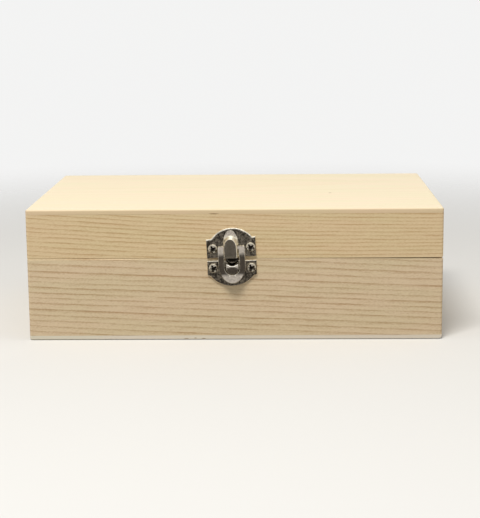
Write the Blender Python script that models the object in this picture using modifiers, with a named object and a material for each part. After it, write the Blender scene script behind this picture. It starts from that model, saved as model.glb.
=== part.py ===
"""A flat box of pale sanded wood with a hinged lid, two small hinges and a sprung box latch.

Metres, +Z up. The origin is the middle of the underside, the front face looks along -Y, and the
parting line between base and lid lies at the height of the base.
"""

from math import acos, cos, hypot, pi, radians, sin

import bmesh
import bpy
from mathutils import Matrix, Vector

for startup_object in list(bpy.data.objects):
    bpy.data.objects.remove(startup_object)

# Case
CASE_WIDTH = 0.250
CASE_DEPTH = 0.160
BASE_HEIGHT = 0.050
LID_HEIGHT = 0.030
WALL = 0.008
BOTTOM_THICKNESS = 0.0025
TOP_THICKNESS = 0.003
ARRIS = 0.0008
ARRIS_STEPS = 2

# Gaps that pieces keep to their neighbours
GLUE_GAP = 0.0003
RIM_GAP = 0.0003
SEAT_GAP = 0.0002
HOLE_GAP = 0.0003
PIN_GAP = 0.0001
SWING_GAP = 0.00025

# Latch, measured from the parting line
LATCH_OFFSET = -0.0014
LID_PLATE_TILT = radians(2.8)
BASE_PLATE_TILT = radians(1.0)
PLATE_THICKNESS = 0.0010
PLATE_EDGE_ROUND = 0.0004
PLATE_WIDTH = 0.0295
DISC_RADIUS = 0.0172
DISC_RISE = 0.0013
LID_PLATE_EDGE = 0.0010
LID_PLATE_EAR = 0.0116
BASE_PLATE_EDGE = 0.0010
BASE_PLATE_EAR = 0.00915
NOTCH_WIDTH = 0.0018
NOTCH_DEPTH = 0.0004
SHEET = 0.0008
NOSE_WIDTH = 0.0090
NOSE_TOP = 0.0131
NOSE_ROUND = 0.0010
FLAP_WIDTH = 0.0162
FLAP_PIVOT_RISE = 0.0066
FLAP_BAR = 0.0018
FLAP_CORNER = 0.0006
FLAP_SHOULDER = 0.0042
FLAP_STEP = 0.0009
WINDOW_WIDTH = 0.0096
LIP_DROP = 0.0050
LIP_ANGLE = radians(45)
HOOK_WIDTH = 0.0073
HOOK_ROOT = 0.0018
HOOK_BEND_TOP = 0.0028
HOOK_BEND_LENGTH = 0.0022
HOOK_TIP = 0.00935
TIP_GAP = 0.00045

# Latch screws
LATCH_SCREW_SPACING = 0.0228
LID_SCREW_RISE = 0.00625
BASE_SCREW_DROP = 0.0059
LATCH_HEAD_RADIUS = 0.0025
LATCH_HEAD_HEIGHT = 0.0016
LATCH_SHANK_RADIUS = 0.0011
LATCH_SCREW_LENGTH = 0.0065
LATCH_SCREW_TURNS = (radians(25), radians(38), radians(32), radians(52))

# Hinges
HINGE_SPACING = 0.150
HINGE_LENGTH = 0.022
LEAF_HEIGHT = 0.0095
LEAF_THICKNESS = 0.0008
LEAF_CORNER = 0.0010
KNUCKLE_RADIUS = 0.0016
KNUCKLE_LENGTH = 0.0080
KNUCKLE_GAP = 0.0003
KNUCKLE_SINK = 0.00005
NOTCH_EASE = 0.0001
HINGE_PIN_RADIUS = 0.0008
HINGE_PIN_END = 0.0004
HINGE_SCREW_SPACING = 0.0130
HINGE_SCREW_DROP = 0.0060
HINGE_HEAD_RADIUS = 0.0017
HINGE_HEAD_HEIGHT = 0.0006
HINGE_SHANK_RADIUS = 0.0009
HINGE_SCREW_LENGTH = 0.0060

# Shared by all screws: the recess and point, as shares of the head and shank
DOME_EDGE_SHARE = 0.45
RECESS_SPAN_SHARE = 1.15
RECESS_WIDTH_SHARE = 0.30
RECESS_DEPTH_SHARE = 0.55
POINT_SHARE = 1.4
HINGE_SCREW_TURN = radians(37)

# How finely round shapes are cut, and how far a cutter runs past what it cuts
ARC_STEPS = 20
ROUND_SIDES = 20
DOME_STEPS = 3
EDGE_STEPS = 2
CORNER_STEPS = 3
LIP_STEPS = 4
OVERRUN = 0.0010
TOUCH = 1e-6
SHARP_ANGLE = radians(35)
QUARTER_TURN = radians(90)
FLAT_ANGLE = radians(1)

# Places that follow from the sizes
PLATE_FACE = SEAT_GAP + PLATE_THICKNESS
LEAF_FACE = SEAT_GAP + LEAF_THICKNESS
BAR_REACH = hypot(FLAP_BAR / 2, SHEET / 2)
PIVOT_OUT = PLATE_FACE + BAR_REACH + SWING_GAP
NOSE_INSIDE = PIVOT_OUT + BAR_REACH + SWING_GAP
NOSE_FACE = NOSE_INSIDE + SHEET
WINDOW_DROP = FLAP_PIVOT_RISE + HOOK_TIP + TIP_GAP
FLAP_DROP = WINDOW_DROP + LIP_DROP
HINGE_AXIS_OUT = SEAT_GAP + KNUCKLE_RADIUS - KNUCKLE_SINK
HINGE_AXIS = Vector((0, CASE_DEPTH / 2 + HINGE_AXIS_OUT, BASE_HEIGHT))


def new_collection(name):
    collection = bpy.data.collections.new(name)
    bpy.context.scene.collection.children.link(collection)
    return collection


def new_material(name, colour, roughness, metallic):
    material = bpy.data.materials.new(name)
    material.use_nodes = True
    shader = material.node_tree.nodes["Principled BSDF"]
    shader.inputs["Base Color"].default_value = (*colour, 1)
    shader.inputs["Roughness"].default_value = roughness
    shader.inputs["Metallic"].default_value = metallic
    material.diffuse_color = (*colour, 1)
    return material


def new_object(name, mesh, material=None):
    """A named piece, or a cutter where no material is given."""
    obj = bpy.data.objects.new(name, mesh)
    if material is None:
        CUTTERS.objects.link(obj)
        obj.hide_render = True
        obj.display_type = "WIRE"
        return obj
    PARTS.objects.link(obj)
    if not mesh.materials:
        mesh.materials.append(material)
    return obj


def new_empty(name, location, rotation=(0, 0, 0), parent=None):
    empty = bpy.data.objects.new(name, None)
    empty.empty_display_size = WALL
    empty.location = location
    empty.rotation_euler = rotation
    empty.parent = parent
    PARTS.objects.link(empty)
    return empty


def hold_in_place(obj, axis):
    """Hangs a piece on the empty of its joint, at the place it already has."""
    obj.parent = axis
    obj.matrix_parent_inverse = Matrix.Translation(-axis.location)


def shade_round(mesh):
    mesh.shade_smooth()
    mesh.set_sharp_from_angle(angle=SHARP_ANGLE)


def mesh_from(bm, name):
    bmesh.ops.recalc_face_normals(bm, faces=bm.faces)
    mesh = bpy.data.meshes.new(name)
    bm.to_mesh(mesh)
    bm.free()
    return mesh


def evaluated_mesh(obj):
    """The finished mesh of an object, with its modifiers or its curve worked out."""
    graph = bpy.context.evaluated_depsgraph_get()
    return bpy.data.meshes.new_from_object(obj.evaluated_get(graph))


def slab(outline, low, high):
    """A flat plate of the given outline between two heights along Z, as a bmesh."""
    curve = bpy.data.curves.new("outline", "CURVE")
    curve.dimensions = "2D"
    curve.fill_mode = "BOTH"
    curve.extrude = (high - low) / 2
    spline = curve.splines.new("POLY")
    spline.points.add(len(outline) - 1)
    for point, (x, y) in zip(spline.points, outline):
        point.co = (x, y, 0, 1)
    spline.use_cyclic_u = True
    guide = bpy.data.objects.new("outline", curve)
    CUTTERS.objects.link(guide)
    bm = bmesh.new()
    bm.from_mesh(evaluated_mesh(guide))
    bpy.data.objects.remove(guide)
    bmesh.ops.remove_doubles(bm, verts=bm.verts, dist=TOUCH)
    bmesh.ops.dissolve_degenerate(bm, dist=TOUCH, edges=bm.edges)
    bmesh.ops.recalc_face_normals(bm, faces=bm.faces)
    bmesh.ops.dissolve_limit(bm, angle_limit=FLAT_ANGLE, verts=bm.verts, edges=bm.edges)
    bmesh.ops.translate(bm, vec=(0, 0, (low + high) / 2), verts=bm.verts)
    return bm


def round_edges(bm, edges, radius, steps):
    bmesh.ops.bevel(
        bm, geom=edges, offset=radius, offset_type="OFFSET", affect="EDGES",
        segments=steps, profile=0.5, material=-1,
    )


def rim_edges(bm, height):
    """The edges round the upper face of a slab, at this height."""
    chosen = []
    for edge in bm.edges:
        if all(abs(vert.co.z - height) < TOUCH for vert in edge.verts):
            if any(face.normal.z < cos(FLAT_ANGLE) for face in edge.link_faces):
                chosen.append(edge)
    return chosen


def upright_edges(bm, corners):
    """The edges of a slab that stand on the named corners of its outline."""
    chosen = []
    for edge in bm.edges:
        foot, head = (v.co for v in edge.verts)
        if (foot.xy - head.xy).length < TOUCH:
            if any((foot.xy - Vector(corner)).length < TOUCH for corner in corners):
                chosen.append(edge)
    return chosen


def box(low, high):
    bm = bmesh.new()
    bmesh.ops.create_cube(bm, size=1)
    low, high = Vector(low), Vector(high)
    bmesh.ops.scale(bm, vec=high - low, verts=bm.verts)
    bmesh.ops.translate(bm, vec=(low + high) / 2, verts=bm.verts)
    return bm


def rod(radius, start, end, along="Z"):
    """A round bar along Z or X, as a bmesh."""
    bm = bmesh.new()
    bmesh.ops.create_cone(
        bm, cap_ends=True, segments=ROUND_SIDES, radius1=radius, radius2=radius, depth=end - start,
    )
    bmesh.ops.translate(bm, vec=(0, 0, (start + end) / 2), verts=bm.verts)
    if along == "X":
        turn = Matrix.Rotation(QUARTER_TURN, 3, "Y")
        bmesh.ops.rotate(bm, cent=(0, 0, 0), matrix=turn, verts=bm.verts)
    return bm


def boolean(obj, operation, other):
    modifier = obj.modifiers.new(f"{operation.lower()} {other.name}", "BOOLEAN")
    modifier.operation = operation
    modifier.object = other
    modifier.solver = "EXACT"


def finish_shape(obj, frame):
    """Works out a fitting's modifiers where it was shaped, at the origin, and then puts it in its frame."""
    shape = evaluated_mesh(obj)
    tools = [modifier.object for modifier in obj.modifiers if modifier.type == "BOOLEAN"]
    obj.modifiers.clear()
    obj.data = shape
    shade_round(shape)
    for tool in tools:
        bpy.data.objects.remove(tool)
    obj.parent = frame


def cutter(name, bm, frame=None, location=(0, 0, 0)):
    obj = new_object(name, mesh_from(bm, name))
    obj.parent = frame
    obj.location = location
    return obj


PARTS = new_collection("hinged_wooden_box")
CUTTERS = new_collection("cutters")

WOOD = new_material("pale_wood", (0.62, 0.47, 0.29), 0.6, 0.0)
PANEL_WOOD = new_material("panel_wood", (0.68, 0.55, 0.37), 0.6, 0.0)
NICKEL = new_material("nickel_plate", (0.60, 0.58, 0.54), 0.3, 1.0)
SCREW_NICKEL = new_material("nickel_screw", (0.55, 0.54, 0.51), 0.35, 1.0)

LID = new_empty("lid_hinge_axis", HINGE_AXIS)
LATCH_PLACE = Vector((LATCH_OFFSET, -CASE_DEPTH / 2, BASE_HEIGHT))
BASE_LATCH = new_empty("base_latch_frame", LATCH_PLACE, (QUARTER_TURN, -BASE_PLATE_TILT, 0))
LID_LATCH = new_empty("lid_latch_frame", LATCH_PLACE - HINGE_AXIS, (QUARTER_TURN, -LID_PLATE_TILT, 0), LID)
FLAP_PIVOT = new_empty("flap_pivot", (0, FLAP_PIVOT_RISE, PIVOT_OUT), parent=LID_LATCH)


def board(name, low, high, case_low, case_high, material, on_lid):
    """One glued board. Its arrises are eased where two outer faces of its half of the box meet."""
    low, high = Vector(low), Vector(high)
    centre = (low + high) / 2
    bm = box(low - centre, high - centre)
    eased = []
    for edge in bm.edges:
        ends = [v.co + centre for v in edge.verts]
        faces_met = 0
        for axis in range(len(centre)):
            for side in (case_low[axis], case_high[axis]):
                faces_met += all(abs(end[axis] - side) < TOUCH for end in ends)
        if faces_met > 1:
            eased.append(edge)
    round_edges(bm, eased, ARRIS, ARRIS_STEPS)
    obj = new_object(name, mesh_from(bm, name), material)
    obj.location = centre
    if on_lid:
        hold_in_place(obj, LID)
    return obj


def case_half(prefix, low_z, high_z, walls_low, walls_high, on_lid):
    """Four walls: the front and back run the full width, and the sides stand between them."""
    half_width, half_depth = CASE_WIDTH / 2, CASE_DEPTH / 2
    case_low = (-half_width, -half_depth, low_z)
    case_high = (half_width, half_depth, high_z)
    inner_depth = half_depth - WALL
    side_depth = inner_depth - GLUE_GAP
    corners = {
        "front_board": ((-half_width, -half_depth), (half_width, -inner_depth)),
        "back_board": ((-half_width, inner_depth), (half_width, half_depth)),
        "left_board": ((-half_width, -side_depth), (WALL - half_width, side_depth)),
        "right_board": ((half_width - WALL, -side_depth), (half_width, side_depth)),
    }
    boards = {}
    for name, (low, high) in corners.items():
        boards[name] = board(
            f"{prefix}_{name}", (*low, walls_low), (*high, walls_high), case_low, case_high, WOOD, on_lid,
        )
    return boards


def panel(name, low_z, high_z, case_low_z, case_high_z, on_lid):
    """The thin sheet glued over the whole of an open side."""
    half_width, half_depth = CASE_WIDTH / 2, CASE_DEPTH / 2
    return board(
        name, (-half_width, -half_depth, low_z), (half_width, half_depth, high_z),
        (-half_width, -half_depth, case_low_z), (half_width, half_depth, case_high_z), PANEL_WOOD, on_lid,
    )


case_top = BASE_HEIGHT + LID_HEIGHT
base_rim = BASE_HEIGHT - RIM_GAP / 2
lid_rim = BASE_HEIGHT + RIM_GAP / 2
base_boards = case_half("base", 0, base_rim, BOTTOM_THICKNESS + GLUE_GAP, base_rim, False)
lid_boards = case_half("lid", lid_rim, case_top, lid_rim, case_top - TOP_THICKNESS - GLUE_GAP, True)
panel("bottom_panel", 0, BOTTOM_THICKNESS, 0, base_rim, False)
panel("top_panel", case_top - TOP_THICKNESS, case_top, lid_rim, case_top, True)


def screw_mesh(name, head_radius, head_height, shank_radius, length):
    """A domed cross-head screw, turned about Z with the underside of its head at zero."""
    dome_edge = head_height * DOME_EDGE_SHARE
    profile = []
    for step in range(DOME_STEPS + 1):
        angle = pi / 2 * step / DOME_STEPS
        profile.append((head_radius * sin(angle), dome_edge + (head_height - dome_edge) * cos(angle)))
    point_height = shank_radius * POINT_SHARE
    profile += [(head_radius, 0), (shank_radius, 0), (shank_radius, point_height - length), (0, -length)]
    bm = bmesh.new()
    points = [bm.verts.new((x, 0, z)) for x, z in profile]
    for first, second in zip(points, points[1:]):
        bm.edges.new((first, second))
    mesh = bpy.data.meshes.new(name)
    bm.to_mesh(mesh)
    bm.free()
    turned = bpy.data.objects.new(name, mesh)
    CUTTERS.objects.link(turned)
    lathe = turned.modifiers.new("lathe", "SCREW")
    lathe.steps = lathe.render_steps = ROUND_SIDES
    lathe.use_merge_vertices = True
    lathe.merge_threshold = TOUCH
    turned.hide_render = True
    reach = head_radius * RECESS_SPAN_SHARE / 2
    half_width = head_radius * RECESS_WIDTH_SHARE / 2
    floor = head_height * (1 - RECESS_DEPTH_SHARE)
    arms = [
        cutter(f"{name}_recess_a", box((-reach, -half_width, floor), (reach, half_width, head_height + OVERRUN))),
        cutter(f"{name}_recess_b", box((-half_width, -reach, floor), (half_width, reach, head_height + OVERRUN))),
    ]
    for arm in arms:
        boolean(turned, "DIFFERENCE", arm)
    finish_shape(turned, None)
    finished = turned.data
    finished.materials.append(SCREW_NICKEL)
    bpy.data.objects.remove(turned)
    return finished


def bore_fitting(fitting, x, y, shank_radius, face):
    """Bores a screw's hole in a fitting that is still at the origin, through to its outer face."""
    hole = rod(shank_radius + HOLE_GAP, -OVERRUN, face + OVERRUN)
    boolean(fitting, "DIFFERENCE", cutter(f"{fitting.name}_hole", hole, location=(x, y, 0)))


def drive_screw(name, mesh, frame, x, y, height, angle, wood, shank_radius, length):
    """Sets a screw at a place on a fitting and bores its hole in the board behind."""
    screw = new_object(name, mesh, SCREW_NICKEL)
    screw.parent = frame
    screw.location = (x, y, height)
    screw.rotation_euler = (0, 0, angle)
    hole = rod(shank_radius + HOLE_GAP, -length, OVERRUN)
    boolean(wood, "DIFFERENCE", cutter(f"{name}_hole", hole, frame, (x, y, 0)))


def arc(centre_y, radius, start, end):
    """Points round a circle centred on the middle line of a fitting."""
    steps = [start + (end - start) * step / ARC_STEPS for step in range(ARC_STEPS + 1)]
    return [(radius * cos(angle), centre_y + radius * sin(angle)) for angle in steps]


def plate_outline(side, edge, ear):
    """Half of a disc with two square ears. side is 1 for the plate on the lid and -1 for the one below."""
    half = PLATE_WIDTH / 2
    ear_top = edge + ear
    disc_centre = side * DISC_RISE
    notch = half - NOTCH_WIDTH
    angle = acos(notch / DISC_RADIUS)
    disc = arc(disc_centre, DISC_RADIUS, angle, pi - angle)
    outline = [(-half, edge), (half, edge), (half, ear_top), (notch, ear_top - NOTCH_DEPTH)]
    outline += disc
    outline += [(-notch, ear_top - NOTCH_DEPTH), (-half, ear_top)]
    return [(x, side * y) for x, y in outline]


def tongue_outline(half_width, start, tip):
    """Straight sides from start to a half-round end that reaches tip, up or down the fitting."""
    direction = 1 if tip > start else -1
    outline = [(-half_width, start), (half_width, start)]
    return outline + arc(tip - direction * half_width, half_width, 0, direction * pi)


def bent_sheet(name, path, width, material=None):
    """Sheet metal of even thickness that follows a path of heights and distances from the wood."""
    bm = bmesh.new()
    side = -width / 2 - OVERRUN
    points = [bm.verts.new((side, y, z)) for y, z in path]
    edges = [bm.edges.new(pair) for pair in zip(points, points[1:])]
    grown = bmesh.ops.extrude_edge_only(bm, edges=edges)["geom"]
    moved = [item for item in grown if isinstance(item, bmesh.types.BMVert)]
    bmesh.ops.translate(bm, vec=(-2 * side, 0, 0), verts=moved)
    sheet = new_object(name, mesh_from(bm, name), material)
    thicken = sheet.modifiers.new("sheet", "SOLIDIFY")
    thicken.thickness = SHEET
    thicken.offset = 0
    thicken.use_even_offset = True
    return sheet


def latch_plate(name, side, edge, ear, screw_height):
    bm = slab(plate_outline(side, edge, ear), SEAT_GAP, PLATE_FACE)
    round_edges(bm, rim_edges(bm, PLATE_FACE), PLATE_EDGE_ROUND, EDGE_STEPS)
    plate = new_object(name, mesh_from(bm, name), NICKEL)
    for x in (-LATCH_SCREW_SPACING / 2, LATCH_SCREW_SPACING / 2):
        bore_fitting(plate, x, screw_height, LATCH_SHANK_RADIUS, PLATE_FACE)
    return plate


def latch_lid_plate():
    """The upper plate, with the hollow nose that is pressed out of it and holds the bar of the flap."""
    plate = latch_plate("latch_lid_plate", 1, LID_PLATE_EDGE, LID_PLATE_EAR, LID_SCREW_RISE)
    half = NOSE_WIDTH / 2
    nose = slab(tongue_outline(half, 0, NOSE_TOP), SEAT_GAP + PLATE_THICKNESS / 2, NOSE_FACE)
    round_edges(nose, rim_edges(nose, NOSE_FACE), NOSE_ROUND, CORNER_STEPS)
    hollow = slab(tongue_outline(half - SHEET, -OVERRUN, NOSE_TOP - SHEET), -OVERRUN, NOSE_INSIDE)
    reach = BAR_REACH + SWING_GAP
    slot = box(
        (-half - OVERRUN, FLAP_PIVOT_RISE - reach, PLATE_FACE),
        (half + OVERRUN, FLAP_PIVOT_RISE + reach, NOSE_INSIDE),
    )
    boolean(plate, "UNION", cutter("nose_outside", nose))
    boolean(plate, "DIFFERENCE", cutter("nose_hollow", hollow))
    boolean(plate, "DIFFERENCE", cutter("nose_slots", slot))
    finish_shape(plate, LID_LATCH)


def latch_base_plate():
    """The lower plate, with the hook that is cut and bent out of it."""
    plate = latch_plate("latch_base_plate", -1, BASE_PLATE_EDGE, BASE_PLATE_EAR, -BASE_SCREW_DROP)
    half = HOOK_WIDTH / 2
    hook_out = PIVOT_OUT + FLAP_STEP
    mid_plate = SEAT_GAP + PLATE_THICKNESS / 2
    bend_foot = HOOK_BEND_TOP + HOOK_BEND_LENGTH
    path = [(-HOOK_ROOT, mid_plate), (-HOOK_BEND_TOP, mid_plate), (-bend_foot, hook_out)]
    hook = bent_sheet("hook_sheet", [*path, (-HOOK_TIP - OVERRUN, hook_out)], HOOK_WIDTH)
    shape = slab(tongue_outline(half, 0, -HOOK_TIP), -OVERRUN, hook_out + SHEET + OVERRUN)
    shape_cutter = cutter("hook_shape", shape)
    boolean(hook, "INTERSECT", shape_cutter)
    opening = slab(
        tongue_outline(half + SWING_GAP, -HOOK_BEND_TOP, -HOOK_TIP - SWING_GAP), -OVERRUN, PLATE_FACE + OVERRUN,
    )
    boolean(plate, "DIFFERENCE", cutter("hook_opening", opening))
    boolean(plate, "UNION", hook)
    finish_shape(plate, BASE_LATCH)
    bpy.data.objects.remove(shape_cutter)


def latch_flap():
    """The swinging hasp: a bar that turns in the nose, a window that drops over the hook, and a lip."""
    half, bar = FLAP_WIDTH / 2, FLAP_BAR / 2
    path = [(bar + OVERRUN, 0), (-bar, 0), (-bar - FLAP_SHOULDER, FLAP_STEP)]
    lip_radius = LIP_DROP / sin(LIP_ANGLE)
    for step in range(LIP_STEPS + 1):
        angle = LIP_ANGLE * step / LIP_STEPS
        path.append((-WINDOW_DROP - lip_radius * sin(angle), FLAP_STEP + lip_radius * (1 - cos(angle))))
    path.append((path[-1][0] - SHEET * cos(LIP_ANGLE), path[-1][1] + SHEET * sin(LIP_ANGLE)))
    flap = bent_sheet("latch_flap", path, FLAP_WIDTH, NICKEL)
    outside = slab(tongue_outline(half, bar, -FLAP_DROP), -LIP_DROP, LIP_DROP)
    round_edges(outside, upright_edges(outside, [(-half, bar), (half, bar)]), FLAP_CORNER, CORNER_STEPS)
    window = slab(tongue_outline(WINDOW_WIDTH / 2, -bar, -WINDOW_DROP), -LIP_DROP, LIP_DROP)
    boolean(flap, "INTERSECT", cutter("flap_outside", outside))
    boolean(flap, "DIFFERENCE", cutter("flap_window", window))
    finish_shape(flap, FLAP_PIVOT)


def hinge_leaf(name, side):
    """One leaf, side 1 on the lid and -1 on the base: its knuckles round the pin and its screw holes.

    It is notched where the knuckles of the other leaf turn.
    """
    end = HINGE_LENGTH / 2
    middle = (KNUCKLE_LENGTH - side * KNUCKLE_GAP) / 2
    notch = KNUCKLE_RADIUS + KNUCKLE_GAP
    low, high = sorted((0, side * LEAF_HEIGHT))
    bm = box((-end, low, SEAT_GAP), (end, high, LEAF_FACE))
    corners = [(-end, side * LEAF_HEIGHT), (end, side * LEAF_HEIGHT)]
    round_edges(bm, upright_edges(bm, corners), LEAF_CORNER, CORNER_STEPS)
    leaf = new_object(name, mesh_from(bm, name), NICKEL)
    centre_span = [(-middle, middle)]
    end_spans = [(-end, -middle), (middle, end)]
    knuckles, notches = (centre_span, end_spans) if side > 0 else (end_spans, centre_span)
    for start, stop in notches:
        start -= OVERRUN if start == -end else NOTCH_EASE
        stop += OVERRUN if stop == end else NOTCH_EASE
        low, high = sorted((-side * OVERRUN, side * notch))
        gap = box((start, low, -OVERRUN), (stop, high, LEAF_FACE + OVERRUN))
        boolean(leaf, "DIFFERENCE", cutter(f"{name}_notch", gap))
    axis_place = (0, 0, HINGE_AXIS_OUT)
    for start, stop in knuckles:
        barrel = rod(KNUCKLE_RADIUS, start, stop, "X")
        boolean(leaf, "UNION", cutter(f"{name}_knuckle", barrel, location=axis_place))
    bore = rod(HINGE_PIN_RADIUS + PIN_GAP, -end - OVERRUN, end + OVERRUN, "X")
    boolean(leaf, "DIFFERENCE", cutter(f"{name}_bore", bore, location=axis_place))
    for x in (-HINGE_SCREW_SPACING / 2, HINGE_SCREW_SPACING / 2):
        bore_fitting(leaf, x, side * HINGE_SCREW_DROP, HINGE_SHANK_RADIUS, LEAF_FACE)
    return leaf


def hinge(prefix, centre_x, screw):
    """A surface hinge on the back: two leaves, the pin and four screws."""
    place = Vector((centre_x, CASE_DEPTH / 2, BASE_HEIGHT))
    turn = (QUARTER_TURN, 0, pi)
    base_frame = new_empty(f"{prefix}_hinge_base_frame", place, turn)
    lid_frame = new_empty(f"{prefix}_hinge_lid_frame", place - HINGE_AXIS, turn, LID)
    end = HINGE_LENGTH / 2 + HINGE_PIN_END
    bm = rod(HINGE_PIN_RADIUS, -end, end, "X")
    pin = new_object(f"{prefix}_hinge_pin", mesh_from(bm, "pin"), SCREW_NICKEL)
    shade_round(pin.data)
    pin.parent = base_frame
    pin.location = (0, 0, HINGE_AXIS_OUT)
    halves = (("base", -1, base_frame, base_boards), ("lid", 1, lid_frame, lid_boards))
    for half, side, frame, boards in halves:
        finish_shape(hinge_leaf(f"{prefix}_hinge_{half}_leaf", side), frame)
        for number, place in ((1, -1), (2, 1)):
            drive_screw(
                f"{prefix}_hinge_{half}_screw_{number}", screw, frame, place * HINGE_SCREW_SPACING / 2,
                side * HINGE_SCREW_DROP, LEAF_FACE + SEAT_GAP, HINGE_SCREW_TURN * number * side,
                boards["back_board"], HINGE_SHANK_RADIUS, HINGE_SCREW_LENGTH,
            )


latch_screw = screw_mesh(
    "latch_screw", LATCH_HEAD_RADIUS, LATCH_HEAD_HEIGHT, LATCH_SHANK_RADIUS, LATCH_SCREW_LENGTH,
)
latch_halves = (
    ("lid", LID_LATCH, lid_boards, LID_SCREW_RISE, LATCH_SCREW_TURNS[:2]),
    ("base", BASE_LATCH, base_boards, -BASE_SCREW_DROP, LATCH_SCREW_TURNS[2:]),
)
for half, frame, boards, screw_height, turns in latch_halves:
    for side, place, turn in (("left", -1, turns[0]), ("right", 1, turns[1])):
        drive_screw(
            f"latch_{half}_screw_{side}", latch_screw, frame, place * LATCH_SCREW_SPACING / 2, screw_height,
            PLATE_FACE + SEAT_GAP, turn, boards["front_board"], LATCH_SHANK_RADIUS, LATCH_SCREW_LENGTH,
        )
latch_lid_plate()
latch_base_plate()
latch_flap()

hinge_screw = screw_mesh(
    "hinge_screw", HINGE_HEAD_RADIUS, HINGE_HEAD_HEIGHT, HINGE_SHANK_RADIUS, HINGE_SCREW_LENGTH,
)
hinge("left", -HINGE_SPACING / 2, hinge_screw)
hinge("right", HINGE_SPACING / 2, hinge_screw)
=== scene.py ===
# %% [markdown]
# # A hinged wooden box with a sprung latch
#
# The box is four thin boards per half, glued at the corners and closed with a thin sheet of wood at the
# top and the bottom. It was glued up as one closed box and then sawn apart, which is why the lid and the
# base match so well. A pressed nickel-plated latch holds it shut, and two small hinges carry the lid at the
# back. The solids for collision already exist, so this script builds the finer shapes and finishes on them.

# %% Load the frame that every piece is fitted to
from math import asin, cos, pi, radians, sin, sqrt

import bmesh
import bpy
from bmesh.types import BMEdge, BMVert
from mathutils import Euler, Matrix, Vector


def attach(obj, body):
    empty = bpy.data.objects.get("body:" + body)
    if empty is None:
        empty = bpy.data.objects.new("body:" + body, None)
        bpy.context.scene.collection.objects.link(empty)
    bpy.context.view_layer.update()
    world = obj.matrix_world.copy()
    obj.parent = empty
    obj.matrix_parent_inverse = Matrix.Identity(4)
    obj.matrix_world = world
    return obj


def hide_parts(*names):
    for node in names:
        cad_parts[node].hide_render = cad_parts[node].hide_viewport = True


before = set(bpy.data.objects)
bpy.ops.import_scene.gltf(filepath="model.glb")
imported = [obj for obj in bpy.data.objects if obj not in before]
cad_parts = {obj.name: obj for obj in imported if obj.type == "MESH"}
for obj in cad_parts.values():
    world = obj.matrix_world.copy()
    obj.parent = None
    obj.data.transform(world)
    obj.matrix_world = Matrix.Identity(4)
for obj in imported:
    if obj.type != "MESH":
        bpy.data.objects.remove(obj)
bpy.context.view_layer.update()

MM = 0.001

# %% [markdown]
# The same few steps end every piece: shade it, give it a finish, hang it on the body that it moves with, and
# hide the plain solid that it stands for. Modifiers are worked out here too, so the finished mesh gets shaded.

# %% Helpers that finish a piece
SHARP = radians(38)
SAME_SPOT = 0.001 * MM


def worked_out(piece):
    """Replaces a piece's mesh by the one its modifiers make."""
    graph = bpy.context.evaluated_depsgraph_get()
    mesh = bpy.data.meshes.new_from_object(piece.evaluated_get(graph))
    piece.modifiers.clear()
    piece.data = mesh


def add_object(name, data):
    made = bpy.data.objects.new(name, data)
    bpy.context.scene.collection.objects.link(made)
    return made


def as_object(bm, name):
    """Turns a bmesh into an object of the scene."""
    mesh = bpy.data.meshes.new(name)
    bm.to_mesh(mesh)
    bm.free()
    return add_object(name, mesh)


def finish_piece(bm, name, body, finish, nodes, place=None, modifiers=()):
    """Makes a bmesh into a shaded piece that rides on a body and stands for its CAD nodes."""
    if place is not None:
        bmesh.ops.transform(bm, matrix=place, verts=bm.verts)
    piece = as_object(bm, name)
    for kind, settings in modifiers:
        modifier = piece.modifiers.new(kind.lower(), kind)
        for key, value in settings.items():
            setattr(modifier, key, value)
    if modifiers:
        worked_out(piece)
    piece.data.materials.clear()
    piece.data.materials.append(finish)
    piece.data.shade_smooth()
    piece.data.set_sharp_from_angle(angle=SHARP)
    flatten = piece.modifiers.new("even_shading", "WEIGHTED_NORMAL")
    flatten.keep_sharp = True
    worked_out(piece)
    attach(piece, body)
    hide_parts(*nodes)
    print(f"{name}: {len(piece.data.polygons)} faces, rides on {body}")


def turn_outwards(bm):
    bmesh.ops.remove_doubles(bm, verts=bm.verts, dist=SAME_SPOT)
    bmesh.ops.recalc_face_normals(bm, faces=bm.faces)


def bevel(bm, edges, radius, steps, clamp=True):
    bmesh.ops.bevel(
        bm, geom=edges, offset=radius, affect="EDGES", segments=steps, profile=0.5, material=-1,
        clamp_overlap=clamp,
    )


def limited(value):
    return min(max(value, 0), 1)


# %% [markdown]
# Every finish is a tree of nodes. Small helpers make such a tree read almost like a formula.

# %% Helpers that build a finish
def new_finish(name):
    finish = bpy.data.materials.new(name)
    finish.use_nodes = True
    tree = finish.node_tree
    return finish, tree, tree.nodes["Principled BSDF"]


def feed(tree, target, inputs):
    """Sets a node's inputs to plain values, colours of three values, or other nodes' outputs."""
    for key, value in inputs.items():
        socket = target.inputs[key]
        if isinstance(value, bpy.types.NodeSocket):
            tree.links.new(value, socket)
        elif socket.type == "RGBA":
            socket.default_value = (*value, 1)
        else:
            socket.default_value = value


def node(tree, kind, settings=None, inputs=None):
    made = tree.nodes.new(f"ShaderNode{kind}")
    for key, value in (settings or {}).items():
        setattr(made, key, value)
    feed(tree, made, inputs or {})
    return made


def split(tree, vector):
    return node(tree, "SeparateXYZ", None, {0: vector}).outputs


def calc(tree, operation, *values, clamp=False):
    settings = {"operation": operation, "use_clamp": clamp}
    return node(tree, "Math", settings, dict(enumerate(values))).outputs[0]


def scaled(tree, value, amount, plus=0.0, clamp=False):
    """The value times the amount, plus another one."""
    return calc(tree, "MULTIPLY_ADD", value, amount, plus, clamp=clamp)


def noise(tree, place, stretch, detail=2.0, roughness=0.5, shift=(0, 0, 0)):
    """Noise from 0 to 1 with its own number of features per metre along each axis."""
    mapped = node(tree, "Mapping", None, {"Vector": place, "Scale": stretch, "Location": shift})
    inputs = {"Vector": mapped.outputs[0], "Scale": 1.0, "Detail": detail, "Roughness": roughness}
    return node(tree, "TexNoise", None, inputs).outputs[0]


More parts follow.
